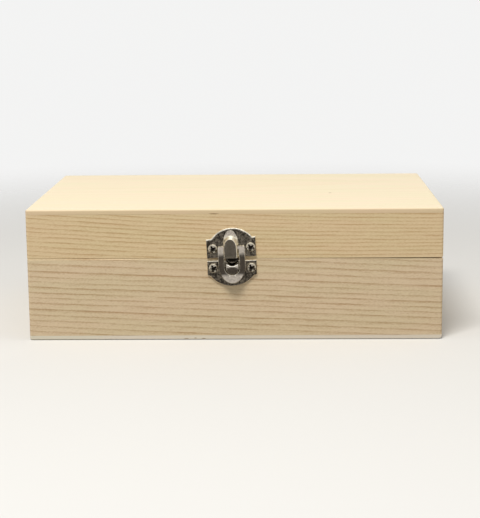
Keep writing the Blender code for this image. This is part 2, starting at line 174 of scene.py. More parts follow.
def ramp(tree, factor, stops):
    """A soft colour ramp from (place, value) stops, where a value is a grey or a colour."""
    made = node(tree, "ValToRGB", None, {"Fac": factor})
    made.color_ramp.interpolation = "EASE"
    elements = made.color_ramp.elements
    for number, (place, value) in enumerate(stops):
        colour = (value,) * 3 if isinstance(value, (int, float)) else value
        element = elements[number] if number < 2 else elements.new(place)
        element.position = place
        element.color = (*colour, 1)
    return made.outputs[0]


def mix(tree, factor, first, second, blend="MIX"):
    """Mixes two colours. Each is a colour or another node's output."""
    settings = {"data_type": "RGBA", "blend_type": blend}
    return node(tree, "Mix", settings, {0: factor, 6: first, 7: second}).outputs[2]


def bumps(tree, strength, distance, height):
    return node(tree, "Bump", None, {"Strength": strength, "Distance": distance, "Height": height}).outputs[0]


def remap(tree, value, low, high, to_low=0.0, to_high=1.0):
    """Stretches the range from low to high onto another one, and holds it at the ends."""
    inputs = {0: value, 1: low, 2: high, 3: to_low, 4: to_high}
    return node(tree, "MapRange", None, inputs).outputs[0]


# %% [markdown]
# ## Pale softwood
#
# Softwood shows its yearly growth as lines: the pale early wood darkens slowly into a thin late line, and
# the next year starts pale again. A board is a slice out of a log, so the pattern is one of rings round an
# axis that runs along the board, outside it. The same rule draws straight lines on the face, arcs on the end
# grain and wide figure on a flat-sawn sheet, and they all meet at the edges.
#
# Four things keep it from looking ruled: the log is slanted, slow noise bends the rings, every ring has a
# strength of its own, and each line is broken along its length, where fibres were cut.

# %% Yearly rings
# How dark the wood is as its year passes, from spring to spring.
LATE_WOOD = [
    (0.0, 0.40), (0.07, 0.03), (0.40, 0.09), (0.65, 0.27), (0.82, 0.70), (0.90, 1.0), (0.95, 0.95), (1.0, 0.40),
]
# Two noises bend the rings: features per metre along, across and through the board, and reach.
SLOW, SLOW_REACH = (6, 22, 22), 2.0 * MM
QUICK, QUICK_REACH = (50, 170, 170), 0.85 * MM
# Good and bad years: their pace and reach, counted in rings.
YEAR_PACE, YEAR_REACH = 0.21, 0.7


def growth_rings(tree, place, heart, spacing, slope, curve, fan, seed):
    """How late in its year the wood at each point grew, from 0 to 1, and the ring's own random strength.

    Place is measured along, across and through the board, and heart is the log's axis across and through.
    Fan is (how fast the rings draw together along the board, the distance from the heart that stays put).
    """
    axes = split(tree, place)
    across = calc(tree, "SUBTRACT", axes[1], heart[0])
    through = calc(tree, "SUBTRACT", axes[2], heart[1])
    squares = calc(tree, "ADD", scaled(tree, across, across), scaled(tree, through, through))
    slant = scaled(tree, axes[0], scaled(tree, axes[0], curve, slope))
    spread = scaled(tree, axes[0], fan[0], 1.0)
    drawn = scaled(tree, calc(tree, "SUBTRACT", calc(tree, "SQRT", squares), fan[1]), spread)
    bent = calc(tree, "ADD", calc(tree, "ADD", drawn, fan[1]), slant)
    slow = noise(tree, place, SLOW, 1.0, 0.4, (seed, 0, 0))
    bent = scaled(tree, slow, SLOW_REACH, bent)
    quick = noise(tree, place, QUICK, 2.0, 0.55, (0, seed, 0))
    bent = scaled(tree, quick, QUICK_REACH, bent)
    years = {"W": bent, "Scale": YEAR_PACE / spacing, "Detail": 1.0}
    uneven = node(tree, "TexNoise", {"noise_dimensions": "1D"}, years).outputs[0]
    bent = scaled(tree, uneven, YEAR_REACH * spacing, bent)
    count = calc(tree, "DIVIDE", bent, spacing)
    late = ramp(tree, calc(tree, "FRACT", count), LATE_WOOD)
    year = calc(tree, "FLOOR", count)
    strength = node(tree, "TexWhiteNoise", {"noise_dimensions": "1D"}, {"W": year}).outputs[0]
    return late, strength


# %% The softwood finish
# Features per metre along, across and through the board.
STREAKS, BREAKS, PATCHES = (70, 1500, 1500), (38, 520, 520), (16, 90, 90)
FIBRES, CANALS, PORES = (700, 2400, 2400), (130, 3200, 3200), (2600, 2600, 2600)


def mark(tree, place, centre, size, colour, amount, under):
    """Darkens a small lens-shaped spot, such as a nick, over the tone under it."""
    scale = tuple(1 / length for length in size)
    moved = tuple(-middle / length for middle, length in zip(centre, size))
    mapped = node(tree, "Mapping", None, {"Vector": place, "Scale": scale, "Location": moved})
    away = node(tree, "VectorMath", {"operation": "LENGTH"}, {0: mapped.outputs[0]}).outputs["Value"]
    inside = ramp(tree, away, [(0.35, amount), (1.0, 0.0)])
    return mix(tree, inside, under, colour)


def softwood(
    name, order, heart, spacing, slope, curve, seed, pale, dark, contrast=1.0, edge_shade_tint=None, marks=(), fan=(0, 0),
):
    """A wood finish. Order names the frame's axes along, across and through the board.

    Share is how much of the dark tone shows, and end is one on end grain. The edge tint is a painted shade
    that makes the faces that aren't level darker and warmer than the level face, which takes the light.
    """
    finish, tree, shader = new_finish(name)
    where = node(tree, "TexCoord").outputs
    frame_axes, facing = split(tree, where["Object"]), split(tree, where["Normal"])
    letters = "XYZ"
    inputs = {number: frame_axes[letters.index(letter)] for number, letter in enumerate(order)}
    place = node(tree, "CombineXYZ", None, inputs).outputs[0]
    late, strength = growth_rings(tree, place, heart, spacing, slope, curve, fan, seed)
    streak = noise(tree, place, STREAKS, 3.0, 0.65, (0, 0, seed))
    patch = noise(tree, place, PATCHES, 2.0, 0.5, (seed, seed, 0))
    share = scaled(tree, late, scaled(tree, strength, 0.36 * contrast, 0.60 * contrast))
    broken = noise(tree, place, BREAKS, 2.0, 0.6, (seed, 0, seed))
    share = scaled(tree, share, remap(tree, broken, 0.36, 0.62, 0.55, 1.30))
    share = scaled(tree, calc(tree, "SUBTRACT", streak, 0.5), 0.95 * contrast, share)
    fibres = noise(tree, place, FIBRES, 1.0, 0.5, (seed, seed, seed))
    share = scaled(tree, calc(tree, "SUBTRACT", fibres, 0.5), 1.15 * contrast, share, clamp=True)
    tone = mix(tree, share, pale, dark)
    canal = noise(tree, place, CANALS, 0.0, 0.5, (0, seed, seed))
    canal = ramp(tree, canal, [(0.76, 0.0), (0.82, 0.30 * contrast)])
    tone = mix(tree, canal, tone, dark)
    warm = ramp(tree, patch, [(0.35, (0.988, 1.0, 0.985)), (0.65, (1.016, 0.992, 1.008))])
    tone = mix(tree, 1.0, tone, warm, "MULTIPLY")
    end = remap(tree, calc(tree, "ABSOLUTE", facing[letters.index(order[0])]), 0.6, 0.95)
    pores = noise(tree, where["Object"], PORES, 2.0, 0.6)
    deep = scaled(tree, share, -0.5, pores)
    end_tone = ramp(tree, deep, [(0.0, (0.66, 0.58, 0.46)), (0.8, (0.93, 0.88, 0.80))])
    tone = mix(tree, end, tone, mix(tree, 1.0, tone, end_tone, "MULTIPLY"))
    # Faces that aren't level get a painted shade: darker and warmer than the level face, which takes the light.
    if edge_shade_tint:
        side = calc(tree, "SUBTRACT", 1.0, calc(tree, "ABSOLUTE", facing[2]), clamp=True)
        tone = mix(tree, side, tone, mix(tree, 1.0, tone, edge_shade_tint, "MULTIPLY"))
    for centre, size, colour, amount in marks:
        tone = mark(tree, where["Object"], centre, size, colour, amount, tone)
    grain = scaled(tree, share, -0.35, scaled(tree, streak, 0.5))
    height = scaled(tree, scaled(tree, end, pores), 0.5, grain)
    normal, rough = bumps(tree, 0.35, 0.06 * MM, height), scaled(tree, streak, 0.16, 0.50)
    feed(tree, shader, {"Base Color": tone, "Normal": normal, "Roughness": rough, "Specular IOR Level": 0.32})
    print(f"{name}: rings every {spacing / MM:.1f} mm along {order[0]}")
    return finish


# %% [markdown]
# The boards come from different lengths of timber. The base board's lines are about 3 mm apart and run
# slightly downhill to the right. The lid's are closer and level out towards the right end. The thin sheets
# on the top and bottom are paler and almost plain. A few small marks stand where the real box has them.

# %% One finish for each length of timber
PALE, DARK = (0.742, 0.588, 0.358), (0.530, 0.350, 0.178)
BASE_PALE, BASE_DARK = (0.712, 0.577, 0.384), (0.482, 0.328, 0.184)
# The top sheet's tones are partly its own pale wood and partly painted light on its level top; its edge tone is a
# painted shade for its upright faces.
TOP_PALE, TOP_DARK, TOP_EDGE_SHADE = (0.826, 0.728, 0.532), (0.756, 0.636, 0.424), (0.862, 0.766, 0.676)
BOTTOM_PALE, BOTTOM_DARK = (0.745, 0.688, 0.568), (0.660, 0.580, 0.445)
BROWN, GLUE = (0.26, 0.15, 0.07), (0.36, 0.24, 0.12)
# Each mark has a middle, a reach along X, Y and Z, a colour and a strength.
TOP_NICK = ((-0.0119, -0.0800, 0.0771), (0.0042, 0.0015, 0.00045), BROWN, 0.8)
GLUE_LINE = ((-0.0800, -0.0800, 0.0770), (0.0800, 0.0020, 0.00026), GLUE, 0.45)
SPECK = ((0.0597, -0.0150, 0.0800), (0.0013, 0.0022, 0.002), BROWN, 0.45)

base_front_wood = softwood(
    "base_front_wood", "XZY", (-0.170, -0.020), 3.33 * MM, 0.043, 0.00, 3.7, BASE_PALE, BASE_DARK,
)
lid_front_wood = softwood(
    "lid_front_wood", "XZY", (-0.130, -0.015), 2.36 * MM, 0.030, -0.141, 8.2, PALE, DARK,
    contrast=0.9, marks=[TOP_NICK, GLUE_LINE], fan=(1.0, 0.2055),
)
back_wood = softwood("back_wood", "XZY", (-0.150, 0.110), 2.7 * MM, -0.030, 0.02, 5.1, PALE, DARK)
left_wood = softwood("left_wood", "YZX", (-0.140, -0.100), 2.9 * MM, 0.020, 0.05, 1.3, PALE, DARK)
right_wood = softwood("right_wood", "YZX", (-0.160, 0.150), 2.6 * MM, -0.025, -0.04, 6.6, PALE, DARK)
top_sheet = softwood(
    "top_sheet", "XYZ", (0.035, -0.030), 4.6 * MM, 0.014, 0.05, 4.4, TOP_PALE, TOP_DARK,
    contrast=0.30, edge_shade_tint=TOP_EDGE_SHADE, marks=[TOP_NICK, SPECK],
)
CHIPS = [
    ((x, -0.0800, z), (wide, 0.0012, 0.00035), BROWN, 0.75)
    for x, z, wide in ((-0.0295, 0.0006, 0.0020), (-0.0240, 0.0009, 0.0012), (-0.0190, 0.0006, 0.0017))
]
bottom_sheet = softwood(
    "bottom_sheet", "XYZ", (-0.045, 0.060), 3.9 * MM, -0.012, 0.03, 9.0, BOTTOM_PALE, BOTTOM_DARK,
    contrast=0.4, marks=CHIPS,
)

# %% [markdown]
# ## The boards
#
# Each board is a long block whose outer arrises were eased with sandpaper. A cube is scaled to size, cut
# into short lengths so that its long edges can wander a little, and only the outer edges are rounded. The
# edges along the saw cut stay crisper. The cut isn't quite straight: it closes to a hairline in the middle,
# and at the right end the base's rim falls away by more than half a millimetre. Towards the left end both
# rims are worn rounder and the lid's stands back a little, so that the base's arris shows as a pale line.

# %% Sizes of the case
WIDTH, DEPTH, HEIGHT, SPLIT = 250 * MM, 160 * MM, 80 * MM, 50 * MM
WALL = 8 * MM
BOTTOM, TOP = 2.5 * MM, 3.0 * MM
JOINT = 0.04 * MM
CORNER, EASED, EASED_BELOW, SANDED = 1.7 * MM, 1.1 * MM, 0.5 * MM, 2 * MM
SAWN, CRISP, WORN = 0.5 * MM, 0.14 * MM, {"base": 0.58 * MM, "lid": 0.34 * MM}
SET_BACK, CUT_REACH, LENGTHS = 0.25 * MM, 3 * MM, 48
# The saw cut in millimetres: its hairline, what each end adds, and the saw's wavering.
HAIRLINE, LEFT_GAP, RIGHT_GAP, WAVER = 0.02, 0.03, 0.72, 0.11
half_x, half_y = WIDTH / 2, DEPTH / 2
outer_sides = [(0, -half_x), (0, half_x), (1, -half_y), (1, half_y)]


def rim_drop(x, y):
    """How far the base's rim lies below the parting plane at this place."""
    right = limited((x / half_x + 0.35) / 1.35)
    left = limited((-x / half_x - 0.6) / 0.4)
    front = 1 - 0.6 * (y + half_y) / DEPTH
    wave = 0.35 * sin(x / (7 * MM)) + 0.25 * sin(x / (3.1 * MM) + 1.0)
    return MM * (HAIRLINE + LEFT_GAP * left + (RIGHT_GAP + WAVER * wave) * right ** 1.8 * front)


def arris(x, body):
    """The radius of the front edge of a rim at this distance from the middle."""
    return CRISP + WORN[body] * limited((-20 * MM - x) / (45 * MM))


# %% Build the boards
def cut_across(bm, point, axis, nearness):
    """Cuts a whole mesh at this point, across an axis."""
    normal = Vector((0, 0, 0))
    normal[axis] = 1
    geom = bm.verts[:] + bm.edges[:] + bm.faces[:]
    bmesh.ops.bisect_plane(bm, geom=geom, plane_co=point, plane_no=normal, dist=nearness)


def block(low, high, lengths):
    """A box between two corners, cut across its longer horizontal side into short lengths."""
    low, high = Vector(low), Vector(high)
    bm = bmesh.new()
    bmesh.ops.create_cube(bm, size=1)
    bmesh.ops.scale(bm, vec=high - low, verts=bm.verts)
    bmesh.ops.translate(bm, vec=(low + high) / 2, verts=bm.verts)
    along = 0 if high.x - low.x > high.y - low.y else 1
    for number in range(1, lengths):
        cut_across(bm, low.lerp(high, number / lengths), along, SAME_SPOT)
    return bm


def on_planes(edge, planes):
    """How many of the named planes, each an axis and a place on it, this edge lies in."""
    return sum(all(abs(vert.co[axis] - place) < 0.01 * MM for vert in edge.verts) for axis, place in planes)


def draw_in(bm, rim, body):
    """Narrows the rounding of a rim's front edge to what it has at each place, and sets the lid's back."""
    for vert in bm.verts:
        out, off = vert.co.y + half_y, vert.co.z - rim
        if out < 1.01 * SAWN and abs(off) < 1.01 * SAWN:
            if abs(vert.co.x) < half_x - EASED:
                kept = arris(vert.co.x, body) / SAWN
                vert.co.y, vert.co.z = out * kept - half_y, rim + off * kept
            if body == "lid":
                vert.co.y += SET_BACK * limited((-15 * MM - vert.co.x) / (60 * MM))


def make_board(name, body, low, high, finish, rim=None, cover=None, eased=EASED, worn=()):
    """A board with rounded upright corners. Rim is the height of its sawn side, if it has one.

    Cover is the height of the outer face of a sheet that closes the case, and worn names two planes whose
    common edge was sanded rounder.
    """
    bm = block(low, high, LENGTHS)
    if worn:
        bevel(bm, [edge for edge in bm.edges if on_planes(edge, worn) > 1], SANDED, 5)
    upright = [edge for edge in bm.edges if on_planes(edge, outer_sides) > 1 and edge.calc_length() > 1 * MM]
    bevel(bm, upright, CORNER, 5)
    if cover is not None:
        glued = low[2] if cover == high[2] else high[2]
        outer = [
            edge for edge in bm.edges
            if on_planes(edge, [*outer_sides, (2, cover)]) and not on_planes(edge, [(2, glued)])
            and edge.calc_face_angle(0) > radians(50)
        ]
        bevel(bm, outer, eased, 4)
    if rim is not None:
        crisp = [
            edge for edge in bm.edges
            if on_planes(edge, [(2, rim)]) and edge.is_manifold and edge.calc_face_angle() > radians(60)
        ]
        bevel(bm, crisp, SAWN, 3)
        draw_in(bm, rim, body)
    if rim is not None and body == "base":
        for vert in bm.verts:
            vert.co.z -= limited(1 - (rim - vert.co.z) / CUT_REACH) * rim_drop(vert.co.x, vert.co.y)
    turn_outwards(bm)
    finish_piece(bm, f"{name}_wood", body, finish, [name])


inner_y = half_y - WALL
for half, floor_z, roof_z in (("base", BOTTOM + JOINT, SPLIT), ("lid", SPLIT, HEIGHT - TOP - JOINT)):
    front_wood = base_front_wood if half == "base" else lid_front_wood
    side_y = inner_y - JOINT
    boards = {
        "front": ((-half_x, -half_y), (half_x, -inner_y), front_wood),
        "back": ((-half_x, inner_y), (half_x, half_y), back_wood),
        "left": ((-half_x, -side_y), (WALL - half_x, side_y), left_wood),
        "right": ((half_x - WALL, -side_y), (half_x, side_y), right_wood),
    }
    for side, (low, high, finish) in boards.items():
        make_board(f"{half}_{side}_board", half, (*low, floor_z), (*high, roof_z), finish, SPLIT)

# %% [markdown]
# The bottom sheet has been sanded harder at its right end, so its corner there is rounder, and the top one
# has the soft even arris that catches a bright line along the front.

# %% Build the two sheets
make_board(
    "top_panel", "lid", (-half_x, -half_y, HEIGHT - TOP), (half_x, half_y, HEIGHT), top_sheet,
    cover=HEIGHT,
)
make_board(
    "bottom_panel", "base", (-half_x, -half_y, 0), (half_x, half_y, BOTTOM), bottom_sheet,
    cover=0, eased=EASED_BELOW, worn=[(0, half_x), (2, 0)],
)

# %% [markdown]
# ## Nickel plate
#
# The latch is pressed from thin steel sheet and plated with nickel in a tumbling barrel. That leaves the
# flat faces dull and faintly mottled, and polishes what stands out or turns away from them: rolled rims, the
# sides of the nose, the bends. So the finish has two tones, and a mask between them from two things: how
# sharply an edge is rounded, and how far the surface has turned from the plates' upright plane. The paler
# tone is partly that polish and partly a painted highlight, for the bright surround that these rims and
# sloping faces reflect. A painted shade darkens the hook where it lies under the nose, and the screws'
# recesses, where some grime is painted too. Its strength is stored in the mesh.

# %% The nickel finishes
# The third colour here is a painted shade for the hook under the nose and for the screws' recesses, with some grime
# in the recesses.
GRAIN, CLOUDS, SHADE_AND_GRIME = (950, 950, 950), (360, 360, 360), (0.050, 0.044, 0.034)


def nickel(name, tone, sheen_and_wear_tone, rough, mottle, speckle, shade_and_grime=False):
    """Mottle is how strong the bumps are, and speckle how uneven the tone is."""
    finish, tree, shader = new_finish(name)
    where = node(tree, "TexCoord").outputs
    fine = noise(tree, where["Object"], GRAIN, 2.0, 0.6)
    cloud = noise(tree, where["Object"], CLOUDS, 3.0, 0.6)
    edge = remap(tree, node(tree, "NewGeometry").outputs["Pointiness"], 0.50, 0.60)
    turned = remap(tree, calc(tree, "ABSOLUTE", split(tree, where["Normal"])[1]), 0.93, 0.75)
    sheen_and_wear = scaled(tree, turned, scaled(tree, cloud, 0.9, 0.5), clamp=True)
    dull, clear = (tuple(amount * value for value in tone) for amount in (1 - speckle, 1 + 0.6 * speckle))
    shade = ramp(tree, scaled(tree, cloud, 0.4, scaled(tree, fine, 0.6)), [(0.42, dull), (0.58, clear)])
    # Rounded edges and turned faces get the paler tone: partly polish, partly a painted highlight for the bright
    # surround they reflect.
    shade = mix(tree, calc(tree, "MAXIMUM", edge, sheen_and_wear), shade, sheen_and_wear_tone)
    # Painted shade, with some grime in the screw recesses, from a mask stored in the mesh.
    if shade_and_grime:
        depth = node(tree, "Attribute", {"attribute_name": "shade_and_grime_mask"}).outputs["Fac"]
        shade = mix(tree, depth, shade, SHADE_AND_GRIME)
    normal = bumps(tree, mottle, 0.05 * MM, calc(tree, "ADD", fine, cloud))
    uneven = scaled(tree, cloud, 0.16, rough - 0.08)
    feed(tree, shader, {"Base Color": shade, "Roughness": uneven, "Normal": normal, "Metallic": 1.0})
    print(f"{name}: roughness about {rough}")
    return finish


# The second tone of each finish is polish and a painted highlight together.
PRESSED, POLISH_AND_SHEEN = (0.465, 0.41, 0.345), (0.82, 0.76, 0.63)
plate_nickel = nickel("plate_nickel", (0.60, 0.535, 0.435), (1.0, 0.93, 0.77), 0.22, 0.70, 0.75)
pressed_nickel = nickel("pressed_nickel", PRESSED, POLISH_AND_SHEEN, 0.15, 0.10, 0.12)
nose_nickel = nickel("nose_nickel", PRESSED, (0.80, 0.73, 0.58), 0.24, 0.30, 0.30)
hook_nickel = nickel("hook_nickel", PRESSED, (0.98, 0.94, 0.84), 0.15, 0.10, 0.12, shade_and_grime=True)
screw_nickel = nickel("screw_nickel", (0.42, 0.37, 0.30), (0.62, 0.57, 0.46), 0.22, 0.10, 0.12, shade_and_grime=True)

# %% [markdown]
# ## The latch
#
# Each plate was screwed on by hand, so each is a degree or two off level. Both are modelled lying flat, in
# millimetres from the middle of the parting line: to the right, up, and out of the wood. One matrix then
# stands each plate, with every piece that belongs to it, up on the front of the box.

# %% Where the latch plates stand
LATCH_OFFSET = -1.4
LID_TILT, BASE_TILT = radians(2.8), radians(1.0)


def standing(x, y, tilt=0, facing=0):
    """The place of a fitting: its own millimetres to the metres of the frame."""
    turned = Euler((pi / 2, -tilt, facing)).to_matrix().to_4x4()
    return Matrix.Translation((x * MM, y, SPLIT)) @ turned @ Matrix.Scale(MM, 4)


lid_latch, base_latch = (standing(LATCH_OFFSET, -half_y, tilt) for tilt in (LID_TILT, BASE_TILT))
print("upper plate's middle:", [round(value / MM, 2) for value in lid_latch.translation])

# %% [markdown]
# A plate is a round disc with a square ear at each side, cut across the middle. Its outline is drawn once,
# raised to the thickness of the sheet, and its rim is rolled over, generously on the upper plate and less on
# the lower one, because a rolled rim is what catches the light. Only the upright sides of the ears and the
# upper plate's straight edge stay almost as the shears left them.

# %% Draw and raise a plate
PLATE_LOW, PLATE_FACE, PLATE_HALF, PLATE_EDGE = 0.02, 1.2, 14.75, 1.0
UPPER_ROLL, LOWER_ROLL, SHEARED_ROLL = 1.1, 0.5, 0.45
SHEARED = [(0, -PLATE_HALF), (0, PLATE_HALF), (1, PLATE_EDGE)]
CLOSE = 0.001


def arc(centre, radii, start, end, steps):
    angles = [start + (end - start) * step / steps for step in range(steps + 1)]
    return [(centre[0] + radii[0] * cos(angle), centre[1] + radii[1] * sin(angle)) for angle in angles]


def plate_outline(centre, radius, left_ear, right_ear, neck, cut):
    """Half a disc with two square ears, pointing up, with a cut in its straight edge.

    Centre is the disc's middle, and its arc ends at the distance neck from there, where an ear begins.
    """
    start = asin(sqrt(radius ** 2 - neck ** 2) / radius)
    disc = arc(centre, (radius, radius), start, pi - start, 72)
    right = [(PLATE_HALF, PLATE_EDGE), (PLATE_HALF, right_ear)]
    left = [(-PLATE_HALF, left_ear), (-PLATE_HALF, PLATE_EDGE)]
    return right + disc + left + cut


def closed_line(bm, points):
    corners = [bm.verts.new(point) for point in points]
    return [bm.edges.new(pair) for pair in zip(corners, corners[1:] + corners[:1])]


def only(kind, items):
    return [item for item in items if isinstance(item, kind)]


def lift_faces(bm, faces, height):
    grown = bmesh.ops.extrude_face_region(bm, geom=faces)["geom"]
    bmesh.ops.translate(bm, vec=(0, 0, height), verts=only(BMVert, grown))
    bmesh.ops.recalc_face_normals(bm, faces=bm.faces)


def raised(outline, low, high):
    """A flat slab of this outline, as a bmesh in the plate's own millimetres."""
    bm = bmesh.new()
    border = closed_line(bm, [(x, y, low) for x, y in outline])
    lift_faces(bm, bmesh.ops.contextual_create(bm, geom=border)["faces"], high - low)
    return bm


# %% Roll a rim
def roll_rim(bm, height, radius, steps=5, inset=0.25, cut=()):
    """Rounds the edges of the face at this height, and sets a ring of flat face inside them."""
    def square_edges(sheared):
        """The square edges of that face along the sheared sides, or all the others."""
        found = []
        for edge in bm.edges:
            level = all(abs(vert.co.z - height) < CLOSE for vert in edge.verts)
            kept = all(any((vert.co.xy - Vector(point)).length < CLOSE for point in cut) for vert in edge.verts)
            cleft = any(all(abs(vert.co[axis] - at) < CLOSE for vert in edge.verts) for axis, at in SHEARED)
            if level and edge.calc_face_angle(0) > radians(45) and not kept and cleft == sheared:
                found.append(edge)
        return found

    bevel(bm, square_edges(False), radius, steps, clamp=False)
    bevel(bm, square_edges(True), min(SHEARED_ROLL, radius), 3)
    flat = [
        face for face in bm.faces
        if abs(face.normal.z) > 0.999 and abs(face.calc_center_median().z - height) < CLOSE
    ]
    bmesh.ops.inset_region(bm, faces=flat, thickness=inset, use_even_offset=True)


# %% [markdown]
# The nose of the upper plate is pressed out of the sheet as a hollow half-round tunnel, open at its lower
# end, with a slot in each side for the bar of the flap. It is a coat that is drawn up ring by ring: one chain
# of points round the foot, extruded again and again, each new ring a little narrower. The first rings climb
# slowly, for the soft ramp above the nose, and the last ones make the steep crescent round its flat face.
# The faces of the slots are deleted, and a Solidify modifier thickens the coat.

# %% Draw up the nose
# Each ring: half its width, the middle and tip of its round top, its distance out of the wood, its shift to
# the side, and a power that fills out the top's shoulders where it is below one.
NOSE_RINGS = [
    (4.78, 7.2, 18.00, 1.10, -0.10, 0.98), (4.76, 7.2, 17.15, 1.24, -0.12, 1.00),
    (4.73, 7.2, 16.10, 1.50, -0.14, 1.02), (4.70, 7.2, 15.10, 1.80, -0.18, 1.04),
    (4.66, 7.2, 14.50, 2.02, -0.20, 1.03), (4.60, 7.2, 14.10, 2.22, -0.22, 1.02),
    (4.50, 7.2, 13.82, 2.50, -0.26, 1.00), (4.20, 7.1, 13.15, 3.32, -0.38, 1.00),
    (3.90, 7.0, 12.60, 3.98, -0.48, 1.00), (3.66, 7.0, 12.32, 4.36, -0.53, 1.00),
    (3.45, 7.0, 12.12, 4.47, -0.56, 1.00),
]
SLOT_LOW, SLOT_HIGH, SLOT_IN, SLOT_OUT = 5.3, 8.2, 1.4, 3.4
NOSE_MIDDLE, NOSE_SIDE = -0.25, 3.8


def nose_ring(half, centre, tip, out, shift, power):
    """Points up one side of the nose, round its top and down the other side."""
    right = [(half, y) for y in (0.8, 1.3, 2.3, 3.4, 4.4, SLOT_LOW)]
    top = []
    for x, y in arc((0, 0), (1, 1), 0, pi, 40):
        side = 1 if x > 0 else -1
        top.append((side * half * abs(x) ** power, centre + (tip - centre) * max(y, 0) ** power))
    left = [(-x, y) for x, y in reversed(right)]
    return [(x + shift, y, out) for x, y in right + top + left]


def nose_shell():
    bm = bmesh.new()
    chain = [bm.verts.new(point) for point in nose_ring(*NOSE_RINGS[0])]
    edges = [bm.edges.new(pair) for pair in zip(chain, chain[1:])]
    for ring in NOSE_RINGS[1:]:
        grown = bmesh.ops.extrude_edge_only(bm, edges=edges)["geom"]
        edges, fresh = only(BMEdge, grown), set(only(BMVert, grown))
        neighbours = [[edge.other_vert(vert) for edge in vert.link_edges] for vert in chain]
        chain = [next(vert for vert in near if vert in fresh) for near in neighbours]
        for vert, point in zip(chain, nose_ring(*ring)):
            vert.co = point
    closing = bm.edges.new((chain[0], chain[-1]))
    bmesh.ops.contextual_create(bm, geom=[*(bm.edges.get(pair) for pair in zip(chain, chain[1:])), closing])
    slots = []
    for face in bm.faces:
        x, y, z = face.calc_center_median()
        if abs(x - NOSE_MIDDLE) > NOSE_SIDE and SLOT_LOW < y < SLOT_HIGH and SLOT_IN < z < SLOT_OUT:
            slots.append(face)
    bmesh.ops.delete(bm, geom=slots, context="FACES")
    bmesh.ops.recalc_face_normals(bm, faces=bm.faces)
    if sum(face.normal.z * face.calc_area() for face in bm.faces) < 0:
        bmesh.ops.reverse_faces(bm, faces=bm.faces)
    print(f"nose: {len(NOSE_RINGS)} rings, {len(slots)} faces taken out for the slots")
    return bm


# %% Upper plate and nose
MOUTH_SHIFT, MOUTH_HALF, NOSE_SHEET = -0.35, 3.7, 0.75
mouth = [(-MOUTH_HALF, PLATE_EDGE), *arc((0, 7.9), (MOUTH_HALF, 3.4), pi, 0, 24), (MOUTH_HALF, PLATE_EDGE)]
mouth = [(x + MOUTH_SHIFT, y) for x, y in mouth]
outline = plate_outline((0.6, 3.05), radius=15.85, left_ear=12.55, right_ear=13.2, neck=12.5, cut=mouth)
bm = raised(outline, PLATE_LOW, PLATE_FACE)
roll_rim(bm, PLATE_FACE, UPPER_ROLL, cut=mouth)
turn_outwards(bm)
finish_piece(bm, "latch_upper_plate", "lid", plate_nickel, ["latch_lid_plate"], lid_latch)
coat = [("SOLIDIFY", {"thickness": NOSE_SHEET * MM, "offset": -1})]
finish_piece(nose_shell(), "latch_nose", "lid", nose_nickel, ["latch_lid_plate"], lid_latch, coat)

# %% [markdown]
# The lower plate carries the catch: a tongue that is lanced out of the plate, bent out steeply just below
# the plate's upper edge, and turned down again so that the flap can hook behind it. The fold is tight in the
# middle and softer at the sides. Sheet parts like this are made as a real maker makes them: first the flat
# pattern, then the bends. A function moves each narrow strip of the pattern out to its height.

# %% Make a flat pattern
SHEET = 0.8


def sheet_blank(outline, window=None, edge=0.2):
    """A flat sheet with rounded edges and perhaps a window in it, centred on height zero."""
    bm = bmesh.new()
    borders = []
    for loop in (outline, window):
        if loop:
            borders += closed_line(bm, [(x, y, -SHEET / 2) for x, y in loop])
    if window:
        faces = bmesh.ops.bridge_loops(bm, edges=borders)["faces"]
    else:
        faces = bmesh.ops.contextual_create(bm, geom=borders)["faces"]
    lift_faces(bm, faces, SHEET)
    for height in (SHEET / 2, -SHEET / 2):
        roll_rim(bm, height, edge, 3, 0.12)
    return bm


def cut_strips(bm, places, axis=1):
    """Cuts the sheet across at each of these places, so that it can bend there."""
    for place in places:
        point = Vector((0, 0, 0))
        point[axis] = place
        cut_across(bm, point, axis, CLOSE / 2)


# %% Bend it
def along_path(value, path):
    """The height of a bent sheet and its slope at this value, from a path of (value, height) points."""
    for (start, low), (end, high) in zip(path, path[1:]):
        if value <= end or end == path[-1][0]:
            slope = (high - low) / (end - start)
            return low + slope * (value - start), slope


def rounded_path(path, reach):
    """The same path with each corner replaced by a short curve."""
    result = [path[0]]
    for before, corner, after in zip(path, path[1:], path[2:]):
        before, corner, after = Vector(before), Vector(corner), Vector(after)
        start = corner + (before - corner).normalized() * min(reach, (before - corner).length / 2)
        end = corner + (after - corner).normalized() * min(reach, (after - corner).length / 2)
        for step in range(9):
            share = step / 8
            point = start.lerp(corner, share).lerp(corner.lerp(end, share), share)
            result.append(tuple(point))
    return [*result, path[-1]]


def bend(bm, path, dish=0.0, half=1.0, side_path=None):
    """Bends a flat sheet along a path, and towards its sides along another one, if that is given.

    A dish lets the bend hang lower in the middle than at the sides.
    """
    for vert in bm.verts:
        outward = min(abs(vert.co.x / half), 1) ** 2
        place = vert.co.y + dish * (1 - outward)
        height, slope = along_path(place, path)
        if side_path:
            side_height, side_slope = along_path(place, side_path)
            share = limited(abs(vert.co.x / half) * 2 - 0.5)
            share *= share * (3 - 2 * share)
            height, slope = height + share * (side_height - height), slope + share * (side_slope - slope)
        lean = sqrt(1 + slope ** 2)
        vert.co.y -= vert.co.z * slope / lean
        vert.co.z = height + vert.co.z / lean


# %% Lower plate and its hook
gap = [(-3.55, 1.0), (-3.40, 1.9), (3.90, 1.9), (4.05, 1.0)]
outline = plate_outline((0, 0.1), radius=16.7, left_ear=9.95, right_ear=9.95, neck=13.1, cut=gap)
bm = raised([(x, -y) for x, y in outline], PLATE_LOW, PLATE_FACE)
roll_rim(bm, PLATE_FACE, LOWER_ROLL, cut=[(x, -y) for x, y in gap])
turn_outwards(bm)
finish_piece(bm, "latch_lower_plate", "base", plate_nickel, ["latch_base_plate"], base_latch)

HOOK_SHIFT, HOOK_HALF, HOOK_DISH = 0.25, 3.55, 1.3
TIGHT_FOLD, SOFT_FOLD = 0.15, 2.2
